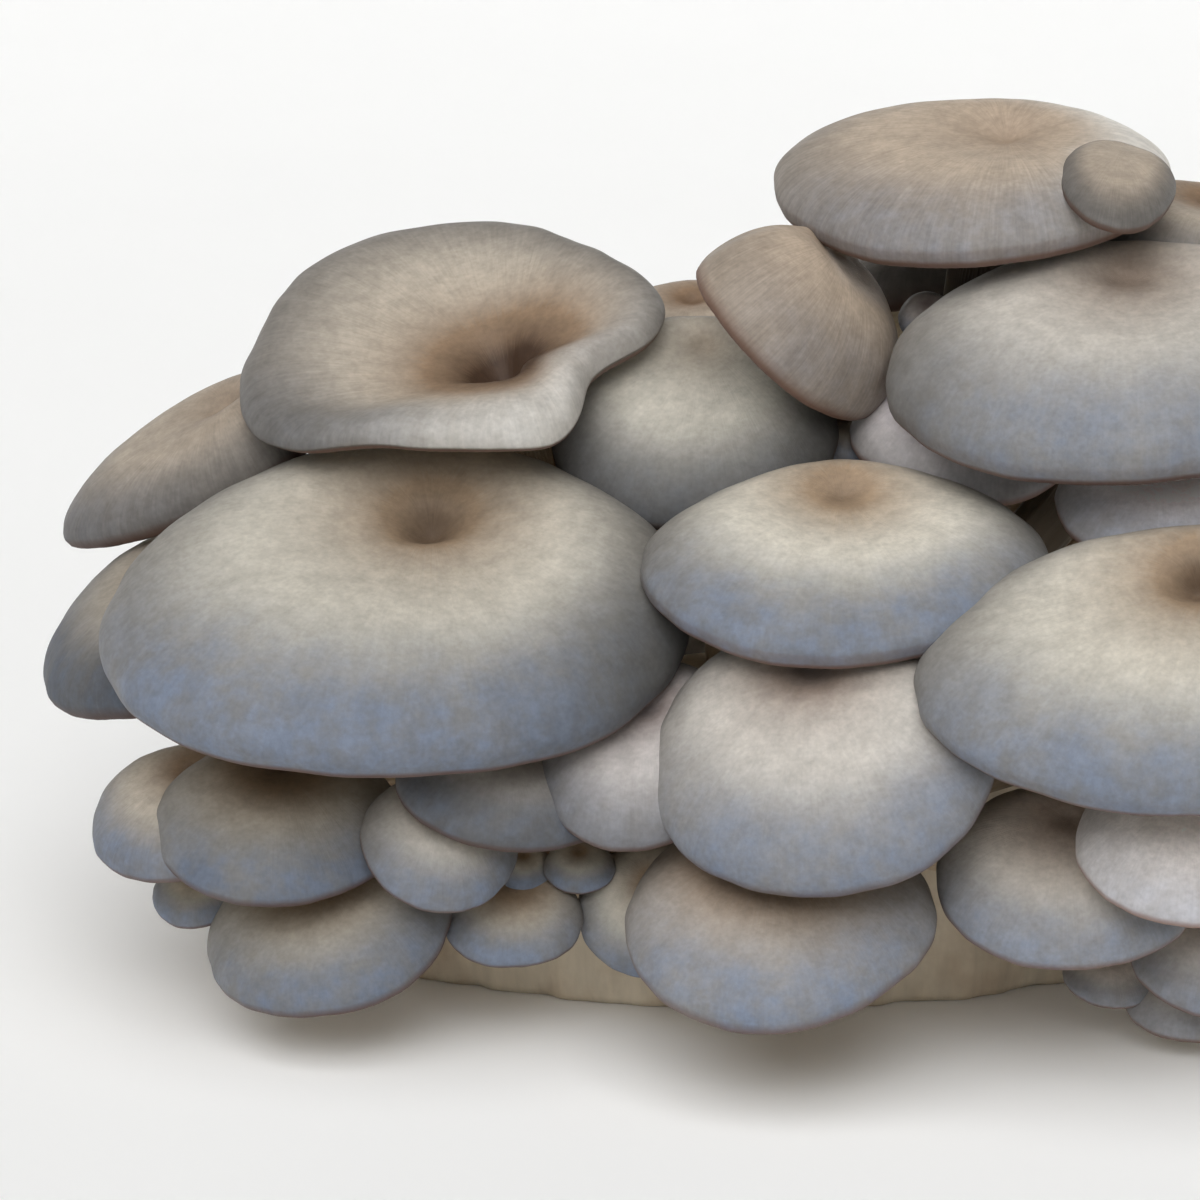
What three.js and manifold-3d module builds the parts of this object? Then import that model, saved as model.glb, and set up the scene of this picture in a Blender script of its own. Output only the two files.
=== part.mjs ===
// Oyster mushroom cluster, cut from where it grew and standing on the cut face of its base.
// Millimetres, +Z up, the front towards -Y, the origin in the middle of the cut face.
// Each mushroom is one solid, because its cap, gills and stem grew as one piece.

import * as THREE from 'three';
import Module from 'manifold-3d';

// The base is the lump of grown-together stem ends: an ellipsoid cut a little below its widest.
const BASE_WIDTH = 160;
const BASE_DEPTH = 74;
const BASE_HEIGHT = 62;
const BASE_CUT_BELOW = 10; // degrees below the widest level
const BASE_LOBES = [[2, 0.03, 60], [3, 0.04, 40], [7, 0.035, 10], [12, 0.02, 0]];
const CORE_LEVEL = 6; // level of the line inside the base that the stems point to
const CORE_SPREAD = 0.6; // where along that line, as a share of the root's own distance

// Gap left where two pieces press together, and how far the edges of such a cut may be evened out.
const CLEARANCE = 0.4;
const CUT_TOLERANCE = 0.1;

// Form of every cap, in fractions of its mean radius unless a row below says otherwise.
const DOME_POWER = 2.7;
const DOME_ROUND = 0.55;
const BOWL_DEPTH = 0.09;
const BOWL_WIDTH = 0.38;
const PIT_DEPTH = 0.04;
const PIT_WIDTH = 0.1;
const GILL_ARCH = 0.3; // how far the gills arch up under the cap
const GILL_DROP = 0.35; // how far they run down towards the stem
const GILL_RELIEF = 0.03; // half the height of a gill
const GILL_FADE = 0.35; // width of the margin over which the gills rise to that height
const LIP_DEPTH = 0.12; // how far the margin rolls down below the rim
const LIP_WIDTH = 0.07; // and inward
const LIP_FADE = 0.2; // width over which the gills rise out of the roll
const RIM_WANDER = [[2, 0.015, 7], [3, 0.012, 11], [5, 0.006, 17]]; // lobes that every rim has
const RIM_LIFT = [[2, 0.015, 5], [3, 0.02, 13]]; // waves that every rim has
const STEM_RADIUS = 0.16;
const STEM_WAIST = 0.9; // a stem's middle against its radius
const STEM_FLARE = 0.25; // how much thicker its ends are
const NECK_FLARE = 1.5; // its width where the gills end

// Stems leave their caps square to the rim and bend into the base, the high ones near its middle.
const NECK_PULL = 0.35; // length of the bend at the cap, as a share of the stem's span
const ROOT_PULL = 0.3; // the same at the base
const ROOT_DEPTH = 7; // how deep a stem's end reaches into the base before it is cut back
const ROOT_LEVEL = 3; // no stem's end lies lower than this
const ROOT_SHARE = 0.72; // a low cap's root, as a share of the cap's own distance from the middle
const ROOT_LIMIT = 0.95; // the furthest root of a low cap, as a share of the base's radius
const ROOT_GATHER = 0.45; // how much both shares shrink for the highest cap
const CLUSTER_HEIGHT = 165;

// Every mushroom: name, [x, y, z] of the middle of its rim, width, length from front to back,
// [heading, pitch, roll] in degrees, dome height, [sideways, backward] place of the dip, and
// what differs from the common form. Heading 0 has the forward edge towards the front and 90 to
// the right, pitch lowers the forward edge, roll lowers the right side. Lobes push the rim out
// and waves lift it, as [how many round the cap, amount, angle of the first]; the angles of those
// that every rim has turn with its place. A pressed margin is pushed in and a raised one lifted, as
// [angle of the middle, spread, amount]. Where two mushrooms press together the earlier one keeps
// its shape.
const MUSHROOMS = [
  ['giant', [-72, -37, 82], 115, 92, [0, 22, 0], 0.33, [0.12, 0.38], {
    bowl: 0.12, pit: 0.11,
    lobes: [[2, 0.02, 35], [3, 0.015, 215]],
    raised: [[65, 25, 0.045]],
  }],
  ['right_big', [82.1, -72, 81.6], 112.2, 67.6, [0, 27, -3], 0.31, [0, 0.45], { pit: 0.1 }],
  ['middle', [15.3, -39, 92.4], 79, 63.9, [0, 14, -1], 0.31, [0, 0.5]],
  ['right_upper', [72.8, -16, 124.3], 98.9, 70.3, [0, 17, -3], 0.43, [0, 0.45]],
  ['crown', [43.1, 23, 154], 80, 70.6, [0, 10, -3], 0.31, [0.19, 0.2], {
    lobes: [[2, 0.03, 150], [3, 0.03, 140]],
    pressed: [[42, 32, 0.07], [345, 16, 0.03]],
    raised: [[338, 30, 0.1]],
  }],
  ['centre_upper', [-13.5, 0, 110], 57.6, 53, [0, 33, -3], 0.38, [0.1, 0.6]],
  ['left_upper', [-63.5, 12, 126.7], 89, 86.5, [0, 17, -9], 0.15, [0.28, -0.28], {
    domePower: 9, bowl: 0.19, bowlWidth: 0.72, pit: 0.2, pitWidth: 0.14, arch: 0.08, lipDepth: 0.07,
    lobes: [[1, 0.08, 300], [2, 0.06, 305], [3, 0.07, 215]],
    wave: [[1, -0.02, 270], [2, -0.02, 285], [3, -0.05, 215]],
    pressed: [[325, 22, 0.34]],
    raised: [[252, 22, 0.08], [302, 14, -0.08]],
  }],
  ['low_middle', [10.4, -66, 62.8], 67, 64, [0, 34, -12], 0.37, [0, 0.5]],
  ['front_middle', [2.1, -72, 31.4], 59.8, 55.1, [0, 22, -3], 0.38, [0, 0.5]],
  ['crown_left', [6.1, 0, 129.3], 54.4, 42.4, [34, 35, 29], 0.71, [0.3, 0.55], { root: [16, 18, 47] }],
  ['left_under', [-94.4, -49, 42.9], 48.3, 42.3, [0, 26, 0], 0.38, [0, 0.5]],
  ['left_floor', [-85, -52, 22], 50, 42, [0, 26, -13], 0.38, [0, 0.5]],
  ['right_under', [80, -76, 48.9], 43.6, 41.6, [0, 28, 0], 0.4, [0, 0.4]],
  ['front_right', [57.1, -67, 38.3], 49.5, 42.6, [0, 32, 0], 0.38, [0, 0.5]],
  ['left_mid', [-115.5, -15, 73], 62, 58, [-60, 25, 0], 0.4, [0, 0.3]],
  ['left_back', [-112, 15, 98.8], 40, 66, [-90, 28, 10], 0.42, [0, 0.3]],
  ['crown_right', [92, 24, 141], 52, 46, [20, 12, 10], 0.4, [0, 0.3]],
  ['low_behind', [-23.5, -53.5, 59.1], 41.9, 45.8, [-15, 30, 0], 0.4, [0, 0.3]],
  ['pale_left', [40, -1, 107], 44, 36, [0, 22, 5], 0.55, [0, 0.3]],
  ['pale_right', [78.6, -21, 99.4], 41.5, 35.5, [0, 22, 0], 0.45, [0, 0.3]],
  ['left_fan', [-49.7, -56, 52.8], 43.4, 32.3, [0, 24, 8], 0.38, [0, 0.5]],
  ['left_fan_b', [-63, -58, 42.4], 31, 30, [10, 40, 8], 0.38, [0, 0.5]],
  ['left_under_b', [-114, -42, 43], 36, 36, [-30, 28, 0], 0.4, [0, 0.4]],
  ['front_middle_left', [-21.5, -50, 26.3], 30, 28.4, [-15, 55, 0], 0.4, [0, 0.3]],
  ['left_button', [-49, -52, 25], 27, 24, [0, 34, 0], 0.4, [0, 0.5]],
  ['right_low', [87, -62, 22], 34, 32, [0, 28, 0], 0.4, [0, 0.4]],
  ['right_floor', [84, -56, 10], 28, 24, [0, 25, 0], 0.4, [0, 0.4]],
  ['right_tiny', [68, -54, 14], 19, 17, [0, 28, 0], 0.4, [0, 0.4]],
  ['left_tiny', [-111, -38, 25], 20, 18, [-20, 28, 0], 0.4, [0, 0.4]],
  ['button_b', [-47, -46, 33], 12, 11, [0, 30, 0], 0.5, [0, 0.3]],
  ['button_c', [-36, -48, 34], 14, 13, [0, 30, 0], 0.5, [0, 0.3]],
  ['gap_small', [17, 6, 106], 20, 17, [0, 20, 0], 0.5, [0, 0.2]],
  ['back_sliver', [-13, 35, 121], 40, 36, [0, 10, 0], 0.35, [0, 0.3]],
  ['back_upper_left', [-52, 58, 104], 74, 66, [168, 20, 0], 0.36, [0, 0.4]],
  ['back_upper_right', [48, 70, 118], 78, 68, [186, 22, 0], 0.36, [0, 0.4]],
  ['back_mid', [-3, 76, 72], 76, 66, [180, 30, 0], 0.36, [0, 0.4]],
  ['back_mid_left', [-92, 52, 66], 60, 54, [-145, 26, 0], 0.38, [0, 0.4]],
  ['back_mid_right', [78, 58, 73], 76, 60, [150, 26, 0], 0.38, [0, 0.4]],
  ['back_low_left', [-55, 64, 40], 54, 48, [-165, 28, 0], 0.4, [0, 0.4]],
  ['back_low_right', [56, 66, 42], 58, 50, [160, 28, 0], 0.4, [0, 0.4]],
  ['back_low', [2, 66, 36], 54, 46, [180, 30, 0], 0.4, [0, 0.4]],
  ['right_end_mid', [122, 5, 62], 52, 46, [80, 25, 0], 0.38, [0, 0.4]],
  ['right_end_low', [112, -28, 30], 42, 38, [60, 28, 0], 0.4, [0, 0.4]],
  ['right_back_low', [105, 32, 38], 46, 40, [110, 25, 0], 0.4, [0, 0.4]],
  ['left_end_low', [-104, 8, 36], 44, 40, [-95, 26, 0], 0.4, [0, 0.4]],
];

// Growths of the crown's own flesh: its front right margin is curled into a small lobe, and a bud
// sits on its stem. Each is rooted inside the crown and is one piece with it.
const CROWN = 'crown';
const CROWN_GROWTHS = [
  ['curled_lobe', [70.3, 4.3, 159.1], 22.9, 39.8, [-7, 10, 7], 0.28, [0, 0.3], {
    bowl: 0, pit: 0, lobes: [[1, 0.14, 270], [3, 0.05, 270]], root: [60, 22, 158],
  }],
  ['stem_bud', [34, 14, 129], 12, 12, [0, 40, 0], 0.5, [0, 0.3], { root: [52, 32, 121] }],
];

// Points round each ring and number of rings, for wide, middling and small caps.
const WIDE_CAP = { from: 79, dish: 12, dome: 24, rim: 48, stem: 12, domeRings: 6, stemRings: 4 };
const MIDDLING_CAP = { from: 47, dish: 6, dome: 12, rim: 24, stem: 8, domeRings: 5, stemRings: 3 };
const SMALL_CAP = { from: 21, dish: 5, dome: 10, rim: 20, stem: 6, domeRings: 4, stemRings: 2 };
const TINY_CAP = { from: 0, dish: 8, dome: 8, rim: 16, stem: 5, domeRings: 3, stemRings: 2 };
const WIDE_GILL_RINGS = [0.88, 0.55]; // how far out from the dip the gills' rings lie
const GILL_RINGS = [0.62];
const DISH_EDGE = 0.6; // rings nearer the dip than this have the dish's few points
const BASE_RINGS = 6;
const BASE_COLUMNS = 32;

// Cap colours from the blue-grey low caps to the brown high ones, and the base's cream.
const LOW_COLOUR = new THREE.Color(0x9a9a9f);
const HIGH_COLOUR = new THREE.Color(0xa08d7c);
const BASE_COLOUR = new THREE.Color(0xd9cdb8);

const wasm = await Module();
wasm.setup();

/** Sum of cosine waves round a ring, each [how many, amount, angle of the first in degrees]. */
function waves(angle, terms) {
  const wave = (sum, [count, amount, first]) => {
    return sum + amount * Math.cos(count * (angle - THREE.MathUtils.degToRad(first)));
  };
  return terms.reduce(wave, 0);
}

/** Sum of swells of a ring, each [angle of its middle, spread, amount], that fade as a bell does. */
function swells(angle, terms) {
  const swell = (sum, [middle, spread, amount]) => {
    const away = angle - THREE.MathUtils.degToRad(middle);
    const turn = Math.atan2(Math.sin(away), Math.cos(away));
    return sum + amount * Math.exp(-((turn / THREE.MathUtils.degToRad(spread)) ** 2));
  };
  return terms.reduce(swell, 0);
}

/** Points of one ring, spaced evenly in angle. */
function ring(count, point) {
  return Array.from({ length: count }, (_, i) => point((2 * Math.PI * i) / count, i));
}

/** Closed solid through a list of rings from one pole to the other; a pole is a ring of one point. */
function solidThrough(rings) {
  const starts = [];
  const positions = [];
  for (const points of rings) {
    starts.push(positions.length / 3);
    for (const p of points) positions.push(p.x, p.y, p.z);
  }
  const index = [];
  for (let k = 0; k + 1 < rings.length; k += 1) {
    const above = rings[k].length;
    const below = rings[k + 1].length;
    const aboveSteps = above > 1 ? above : 0;
    const belowSteps = below > 1 ? below : 0;
    let i = 0;
    let j = 0;
    while (i < aboveSteps || j < belowSteps) {
      const a = starts[k] + (i % above);
      const b = starts[k + 1] + (j % below);
      const stepBelow = i === aboveSteps || (j < belowSteps && (j + 1) * above <= (i + 1) * below);
      if (stepBelow) {
        j += 1;
        index.push(a, b, starts[k + 1] + (j % below));
      } else {
        i += 1;
        index.push(a, b, starts[k] + (i % above));
      }
    }
  }
  const geometry = new THREE.BufferGeometry();
  geometry.setAttribute('position', new THREE.Float32BufferAttribute(positions, 3));
  geometry.setIndex(index);
  return geometry;
}

/** Level of the base's upper surface at a fraction of its plan radius, without its lobes. */
function baseLevel(fraction) {
  const cut = Math.sin(THREE.MathUtils.degToRad(BASE_CUT_BELOW));
  return (BASE_HEIGHT * (Math.sqrt(1 - fraction * fraction) + cut)) / (1 + cut);
}

/** The lumpy base, flat where it was cut. */
function baseGeometry() {
  const cut = THREE.MathUtils.degToRad(BASE_CUT_BELOW);
  const rings = [[new THREE.Vector3(0, 0, BASE_HEIGHT)]];
  for (let k = 1; k <= BASE_RINGS; k += 1) {
    const tilt = Math.PI / 2 - ((Math.PI / 2 + cut) * k) / BASE_RINGS;
    const level = (BASE_HEIGHT * (Math.sin(tilt) + Math.sin(cut))) / (1 + Math.sin(cut));
    rings.push(ring(BASE_COLUMNS, (angle) => {
      const reach = Math.cos(tilt) * (1 + Math.cos(tilt) * waves(angle, BASE_LOBES));
      const x = (BASE_WIDTH / 2) * Math.cos(angle) * reach;
      const y = (BASE_DEPTH / 2) * Math.sin(angle) * reach;
      return new THREE.Vector3(x, y, level);
    }));
  }
  rings.push([new THREE.Vector3(0, 0, 0)]);
  return solidThrough(rings);
}

/** Where a mushroom's stem ends in the base: nearer the middle the higher its cap stands. */
function rootBelow(at) {
  const plan = new THREE.Vector2(at.x / (BASE_WIDTH / 2), at.y / (BASE_DEPTH / 2));
  const rise = at.z / CLUSTER_HEIGHT;
  const gather = ROOT_GATHER * rise;
  const fraction = Math.min(plan.length() * (ROOT_SHARE - gather), ROOT_LIMIT - gather);
  plan.setLength(fraction);
  const level = Math.max(baseLevel(fraction) - ROOT_DEPTH, ROOT_LEVEL);
  return new THREE.Vector3((plan.x * BASE_WIDTH) / 2, (plan.y * BASE_DEPTH) / 2, level);
}

/** A row's numbers as one mushroom's form: its place, its root and the points of its cap. */
function mushroomForm([, at, width, length, [heading, pitch, roll], dome, dip, own = {}]) {
  const detail = [WIDE_CAP, MIDDLING_CAP, SMALL_CAP, TINY_CAP].find(({ from }) => width >= from);
  const halfWidth = width / 2;
  const halfLength = length / 2;
  const mean = (halfWidth + halfLength) / 2;
  const { bowl = BOWL_DEPTH, bowlWidth = BOWL_WIDTH, pit = PIT_DEPTH, pitWidth = PIT_WIDTH } = own;
  const { domePower = DOME_POWER, arch = GILL_ARCH, lipDepth = LIP_DEPTH } = own;
  const { pressed = [], raised = [] } = own;
  const turned = ([count, amount, turn]) => [count, amount, turn * (at[0] + at[2])];
  const lobes = [...(own.lobes ?? []), ...RIM_WANDER.map(turned)];
  const lifts = [...(own.wave ?? []), ...RIM_LIFT.map(turned)];
  const place = new THREE.Matrix4().makeRotationFromEuler(new THREE.Euler(
    THREE.MathUtils.degToRad(pitch),
    THREE.MathUtils.degToRad(roll),
    THREE.MathUtils.degToRad(heading),
    'ZXY',
  )).setPosition(...at);
  const root = own.root ? new THREE.Vector3(...own.root) : rootBelow(new THREE.Vector3(...at));

  // A point at a fraction of the way from the dip to the rim, lifted by the rim's waves and swells.
  const capPoint = (angle, out, height) => {
    const reach = 1 + waves(angle, lobes) - swells(angle, pressed);
    const dipX = dip[0] * halfWidth;
    const dipY = dip[1] * halfLength;
    const x = dipX + (halfWidth * Math.cos(angle) * reach - dipX) * out;
    const y = dipY + (halfLength * Math.sin(angle) * reach - dipY) * out;
    const lift = (waves(angle, lifts) + swells(angle, raised)) * out * out;
    return new THREE.Vector3(x, y, mean * (height + lift)).applyMatrix4(place);
  };
  const domeHeight = (out) => {
    const top = dome * (1 - out ** domePower) ** DOME_ROUND;
    return top - bowl * Math.exp(-((out / bowlWidth) ** 2)) - pit * Math.exp(-((out / pitWidth) ** 2));
  };
  const gillHeight = (out) => {
    const inward = 1 - out;
    const roll = Math.min(inward / LIP_WIDTH, 1);
    const fade = Math.exp(-((Math.max(inward - LIP_WIDTH, 0) / LIP_FADE) ** 2));
    const lip = lipDepth * Math.sqrt(roll * (2 - roll)) * fade;
    return arch * out * inward - GILL_DROP * inward ** 3 - lip;
  };
  return { detail, mean, place, root, capPoint, domeHeight, gillHeight };
}

/** Rings from the dip over the dome, round the rolled margin and along the gills. */
function capRings({ detail, capPoint, domeHeight, gillHeight }) {
  const rings = [[capPoint(0, 0, domeHeight(0))]];
  for (let k = 1; k <= detail.domeRings; k += 1) {
    const out = Math.sin((Math.PI / 2) * (k / detail.domeRings));
    const inner = out < DISH_EDGE ? detail.dish : detail.dome;
    const count = k === detail.domeRings ? detail.rim : inner;
    rings.push(ring(count, (angle) => capPoint(angle, out, domeHeight(out))));
  }
  const lipOut = 1 - LIP_WIDTH;
  rings.push(ring(detail.rim, (angle) => capPoint(angle, lipOut, gillHeight(lipOut))));
  for (const out of detail === WIDE_CAP ? WIDE_GILL_RINGS : GILL_RINGS) {
    const relief = GILL_RELIEF * Math.min(1, (1 - out) / GILL_FADE);
    rings.push(ring(detail.rim, (angle, i) => {
      const ridge = i % 2 === 0 ? -relief : relief;
      return capPoint(angle, out, gillHeight(out) + ridge);
    }));
  }
  return rings;
}

/** Rings from the end of the gills down the bent stem, and its root as the last pole. */
function stemRings({ detail, mean, place, root, capPoint, gillHeight }) {
  const neckOut = NECK_FLARE * STEM_RADIUS;
  const neckRing = ring(detail.stem, (angle) => capPoint(angle, neckOut, gillHeight(neckOut)));
  const neck = neckRing.reduce((sum, p) => sum.add(p), new THREE.Vector3()).divideScalar(detail.stem);
  const across = new THREE.Vector3();
  const back = new THREE.Vector3();
  const up = new THREE.Vector3();
  place.extractBasis(across, back, up);
  const span = neck.distanceTo(root);
  const core = new THREE.Vector3(CORE_SPREAD * root.x, 0, CORE_LEVEL);
  const outward = root.clone().sub(core).normalize();
  const path = new THREE.CubicBezierCurve3(
    neck,
    neck.clone().addScaledVector(up, -NECK_PULL * span),
    root.clone().addScaledVector(outward, ROOT_PULL * span),
    root,
  );
  const rings = [neckRing];
  let along = up.clone().negate();
  for (let k = 1; k <= detail.stemRings; k += 1) {
    const t = k / detail.stemRings;
    const centre = path.getPoint(t);
    const tangent = path.getTangent(t);
    const turn = new THREE.Quaternion().setFromUnitVectors(along, tangent);
    across.applyQuaternion(turn);
    back.applyQuaternion(turn);
    along = tangent;
    const radius = mean * STEM_RADIUS * (STEM_WAIST + STEM_FLARE * (2 * t - 1) ** 2);
    rings.push(ring(detail.stem, (angle) => centre.clone()
      .addScaledVector(across, radius * Math.cos(angle))
      .addScaledVector(back, radius * Math.sin(angle))));
  }
  rings.push([root]);
  return rings;
}

/** One mushroom as a closed surface. */
function mushroomGeometry(row) {
  const form = mushroomForm(row);
  return solidThrough([...capRings(form), ...stemRings(form)]);
}

/** The geometry as a solid that can be joined and cut. */
function toSolid(geometry) {
  const vertProperties = new Float32Array(geometry.attributes.position.array);
  const triVerts = new Uint32Array(geometry.index.array);
  return new wasm.Manifold(new wasm.Mesh({ numProp: 3, vertProperties, triVerts }));
}

/** A solid back as three.js geometry. */
function toGeometry(solid) {
  const mesh = solid.getMesh();
  const geometry = new THREE.BufferGeometry();
  geometry.setAttribute('position', new THREE.BufferAttribute(new Float32Array(mesh.vertProperties), 3));
  geometry.setIndex(new THREE.BufferAttribute(new Uint32Array(mesh.triVerts), 1));
  return geometry;
}

/** A solid swollen along its normals, which leaves the gap when it cuts a neighbour. */
function swollen(solid) {
  const geometry = toGeometry(solid);
  geometry.computeVertexNormals();
  const { position, normal } = geometry.attributes;
  const point = new THREE.Vector3();
  const outward = new THREE.Vector3();
  for (let i = 0; i < position.count; i += 1) {
    point.fromBufferAttribute(position, i);
    outward.fromBufferAttribute(normal, i);
    point.addScaledVector(outward, CLEARANCE);
    position.setXYZ(i, point.x, point.y, point.z);
  }
  return toSolid(geometry);
}

/** The largest piece of a solid, without the scraps that a cut leaves loose. */
function largestPiece(solid) {
  return solid.decompose().reduce((best, piece) => (piece.volume() > best.volume() ? piece : best));
}

const cluster = new THREE.Group();
cluster.name = 'oyster_mushroom_cluster';
const cutters = [];

/** Cuts a new piece clear of the ones already there and adds it to the cluster. */
function addPiece(name, solid, colour) {
  const touching = cutters.filter((cutter) => solid.intersect(cutter).volume() > 0);
  let body = solid;
  for (const cutter of touching) body = body.subtract(cutter);
  if (touching.length > 0) body = largestPiece(body).simplify(CUT_TOLERANCE);
  cutters.push(swollen(solid));
  const geometry = toGeometry(body);
  geometry.computeVertexNormals();
  const material = new THREE.MeshStandardMaterial({ color: colour, roughness: 0.55, metalness: 0 });
  const mesh = new THREE.Mesh(geometry, material);
  mesh.name = name;
  cluster.add(mesh);
}

addPiece('base', toSolid(baseGeometry()), BASE_COLOUR);
for (const row of MUSHROOMS) {
  const [name, [, , level]] = row;
  let solid = toSolid(mushroomGeometry(row));
  if (name === CROWN) {
    for (const growth of CROWN_GROWTHS) solid = solid.add(toSolid(mushroomGeometry(growth)));
  }
  addPiece(`mushroom_${name}`, solid, LOW_COLOUR.clone().lerp(HIGH_COLOUR, level / CLUSTER_HEIGHT));
}

export default cluster;
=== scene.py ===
import bpy
import numpy as np
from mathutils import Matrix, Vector


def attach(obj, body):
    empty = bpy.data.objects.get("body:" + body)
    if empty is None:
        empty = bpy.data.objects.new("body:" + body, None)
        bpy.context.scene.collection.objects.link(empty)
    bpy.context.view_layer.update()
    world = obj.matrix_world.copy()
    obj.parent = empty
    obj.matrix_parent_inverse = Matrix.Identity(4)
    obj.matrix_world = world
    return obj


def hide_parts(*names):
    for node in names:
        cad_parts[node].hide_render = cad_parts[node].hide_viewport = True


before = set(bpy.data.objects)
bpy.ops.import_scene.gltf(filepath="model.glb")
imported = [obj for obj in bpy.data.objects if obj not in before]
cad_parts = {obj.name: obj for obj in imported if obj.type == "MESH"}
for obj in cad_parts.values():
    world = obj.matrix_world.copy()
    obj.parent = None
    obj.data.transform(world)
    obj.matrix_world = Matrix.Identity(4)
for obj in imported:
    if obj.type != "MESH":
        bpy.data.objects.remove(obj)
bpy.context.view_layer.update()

# Base: the lump of grown-together stem ends that carries every mushroom. It is dense pale flesh,
# ribbed where the stems merge in it, and it stands on the flat face where the cluster was cut off.
MM = 0.001
BASE_WIDTH = 160 * MM
BASE_DEPTH = 74 * MM
BASE_HEIGHT = 62 * MM
BASE_CUT_BELOW = np.radians(10)
BASE_LOBES = [(2, 0.03, 60), (3, 0.04, 40), (7, 0.035, 10), (12, 0.02, 0)]
BASE_RIBS = [(19, 0.012, 0), (31, 0.009, 20), (53, 0.005, 70)]
BASE_ROWS, BASE_COLUMNS, CUT_ROWS = 64, 320, 12
BASE_FIBRES_ROUND, BASE_FIBRES_PER_METRE = 18, 60
FLESH = (226, 213, 190)
FLESH_STAIN, STAIN_SCALE, STAIN_STRENGTH = (176, 150, 120), 60, 0.7
STAIN_SPAN = (0.45, 0.75)
FIBRE_SHADES = (0.25, 0.75, 0.8, 1.05)
FLESH_ROUGHNESS = 0.7
FLESH_RELIEF, FLESH_RELIEF_STRENGTH = 0.8 * MM, 0.6


def waves(angle, terms):
    """Sum of cosine waves round a ring, each (how many, amount, angle of the first in degrees)."""
    return sum(amount * np.cos(count * (angle - np.radians(first))) for count, amount, first in terms)


def base_level(fraction):
    """Level of the base's upper face at a fraction of its plan radius, that of an ellipsoid cut low."""
    cut = np.sin(BASE_CUT_BELOW)
    return BASE_HEIGHT * (np.sqrt(1 - fraction**2) + cut) / (1 + cut)


def base_surface():
    """Ellipsoid from its top down to the cut and then across the cut face to its middle: the reach
    from the axis is the cosine of the tilt, swollen by lobes and by ribs that fade towards the top."""
    angle = np.arange(BASE_COLUMNS) * 2 * np.pi / BASE_COLUMNS
    tilt = np.linspace(np.pi / 2, -BASE_CUT_BELOW, BASE_ROWS)[:, None]
    side = np.cos(tilt) * (1 + np.cos(tilt) * waves(angle, BASE_LOBES + BASE_RIBS))
    level = BASE_HEIGHT * (np.sin(tilt) + np.sin(BASE_CUT_BELOW)) / (1 + np.sin(BASE_CUT_BELOW))
    inward = np.linspace(1, 0, CUT_ROWS)[1:, None]
    reach = np.concatenate([side, side[-1:] * inward])
    height = np.concatenate([level, 0 * inward]) + 0 * angle
    across = [BASE_WIDTH / 2 * np.cos(angle) * reach, BASE_DEPTH / 2 * np.sin(angle) * reach]
    round_it = np.stack([np.cos(angle), np.sin(angle)], axis=-1) + 0 * reach[..., None]
    upward = BASE_FIBRES_PER_METRE * height[..., None]
    fibre = np.concatenate([BASE_FIBRES_ROUND * round_it, upward], axis=-1)
    return np.stack([*across, height], axis=-1), {"fibre": fibre}


def closed_mesh(name, parts):
    """Mesh of one or more closed grids of rings, rows by columns, whose first and last rows are single
    points: quads between neighbouring rings, joined round the seam, and fans of triangles at both
    ends."""
    corners, starts, weights = [], [], {}
    point_count = corner_count = 0
    for rings, marks in parts:
        rows, columns = rings.shape[:2]
        here = np.arange(columns)
        after = (here + 1) % columns
        above = 1 + columns * np.arange(rows - 3)[:, None]
        below = above + columns
        last = 1 + columns * (rows - 3)
        pole = 1 + columns * (rows - 2)
        first_fan = np.stack([0 * here, 1 + here, 1 + after], axis=-1)
        quads = np.stack([above + here, below + here, below + after, above + after], axis=-1)
        last_fan = np.stack([last + here, 0 * here + pole, last + after], axis=-1)
        sizes = np.concatenate([np.full(columns, 3), np.full(quads.size // 4, 4), np.full(columns, 3)])
        around = np.concatenate([first_fan.ravel(), quads.ravel(), last_fan.ravel()])
        corners.append(around + point_count)
        starts.append(np.cumsum(sizes) - sizes + corner_count)
        corner_count += len(around)
        point_count += pole + 1
        for key, values in {"place": rings, **marks}.items():
            middle = values[1:-1].reshape(-1, *values.shape[2:])
            flat = np.concatenate([values[0, :1], middle, values[-1, :1]])
            weights.setdefault(key, []).append(flat)
    mesh = bpy.data.meshes.new(name)
    mesh.vertices.add(point_count)
    mesh.vertices.foreach_set("co", np.concatenate(weights.pop("place")).ravel())
    mesh.loops.add(corner_count)
    mesh.loops.foreach_set("vertex_index", np.concatenate(corners))
    starts = np.concatenate(starts)
    mesh.polygons.add(len(starts))
    mesh.polygons.foreach_set("loop_start", starts)
    mesh.update(calc_edges=True)
    mesh.shade_smooth()
    for key, values in weights.items():
        flat = np.concatenate(values)
        kind, field = ("FLOAT", "value") if flat.ndim == 1 else ("FLOAT_VECTOR", "vector")
        mesh.attributes.new(key, kind, "POINT").data.foreach_set(field, flat.ravel())
    return mesh


def add_piece(name, mesh, material, node):
    """Puts a finished mesh into the scene in place of its solid."""
    mesh.materials.append(material)
    piece = bpy.data.objects.new(name, mesh)
    bpy.context.scene.collection.objects.link(piece)
    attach(piece, "root")
    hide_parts(node)


def linear(colour):
    """A colour of 0 to 255, as seen on a screen, as linear light with full cover."""
    share = np.array(colour) / 255
    light = np.where(share <= 0.04045, share / 12.92, ((share + 0.055) / 1.055) ** 2.4)
    return (*light.tolist(), 1.0)


def new_material(name):
    """An empty material with its shader, and the tree of nodes to feed it from."""
    material = bpy.data.materials.new(name)
    material.use_nodes = True
    return material, material.node_tree, material.node_tree.nodes["Principled BSDF"]


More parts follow.
